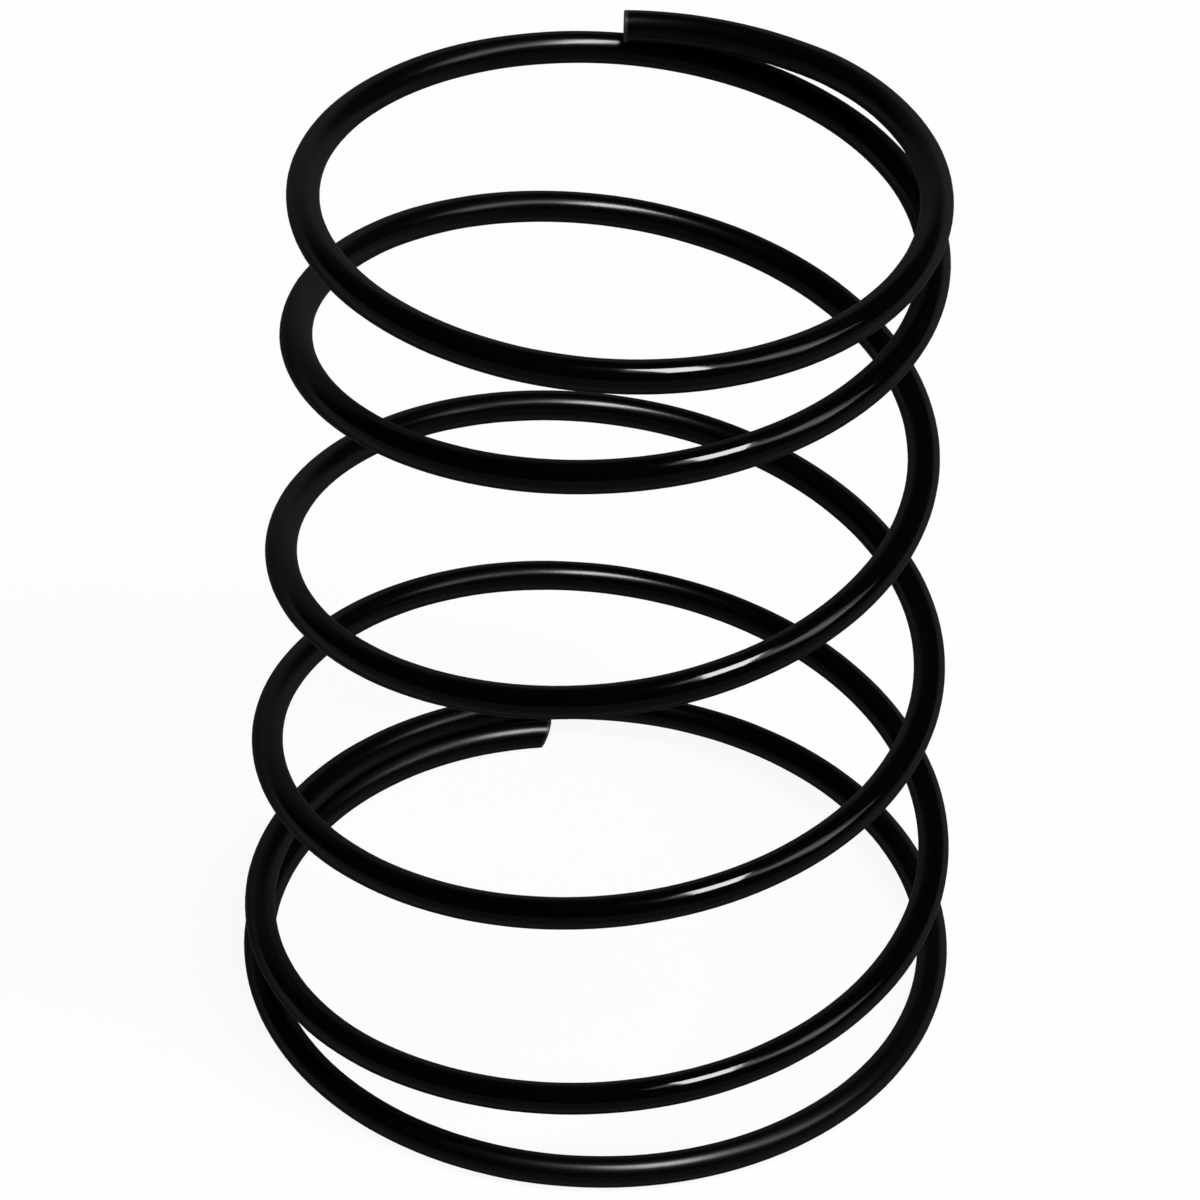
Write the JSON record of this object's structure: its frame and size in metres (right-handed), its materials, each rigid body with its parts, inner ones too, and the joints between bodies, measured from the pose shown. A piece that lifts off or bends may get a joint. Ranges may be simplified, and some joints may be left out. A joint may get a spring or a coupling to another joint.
{
  "type": "cover spring",
  "caption": "Conical compression spring of round black-coated wire with closed ends, which pushes a cover, cap or button back out.",
  "frame": {"origin": "middle of the spring's wide lower end, in the plane that this end stands on", "axes": "+Z is the coil's axis, from the wide lower end to the narrow upper one; the lower cut end lies 100 degrees from +X, seen from above, and the upper one 90 degrees from +X"},
  "size_m": [0.038, 0.038, 0.0502],
  "materials": {
    "black_enamelled_wire": "spring steel wire with a smooth gloss black enamel, thin and even, a little worn at the cut ends"
  },
  "bodies": {
    "root": {"spring": "black_enamelled_wire"}
  },
  "joints": []
}
